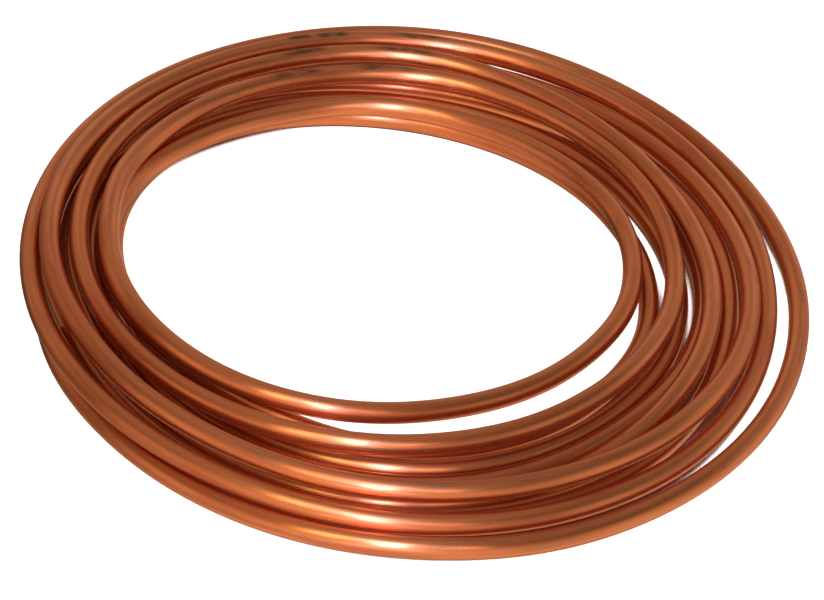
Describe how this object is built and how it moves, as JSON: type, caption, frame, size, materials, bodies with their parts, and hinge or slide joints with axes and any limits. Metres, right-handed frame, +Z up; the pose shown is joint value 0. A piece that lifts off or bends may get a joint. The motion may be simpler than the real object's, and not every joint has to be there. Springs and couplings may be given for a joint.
{
  "type": "copper tube coil",
  "caption": "Loose flat-lying coil of bare soft copper tube, about nine and a half overlapping turns of 5/8 inch tube with both ends cut square and open.",
  "frame": {"origin": "centre of the coil's bounding box, on the floor that it lies on", "axes": "+Z straight up out of the floor through the coil, +Y along its longest side, across the flat oval"},
  "size_m": [0.6044, 0.6226, 0.0495],
  "materials": {
    "drawn_copper": "polished"
  },
  "bodies": {
    "root": {"copper_tube": "drawn_copper"}
  },
  "joints": []
}
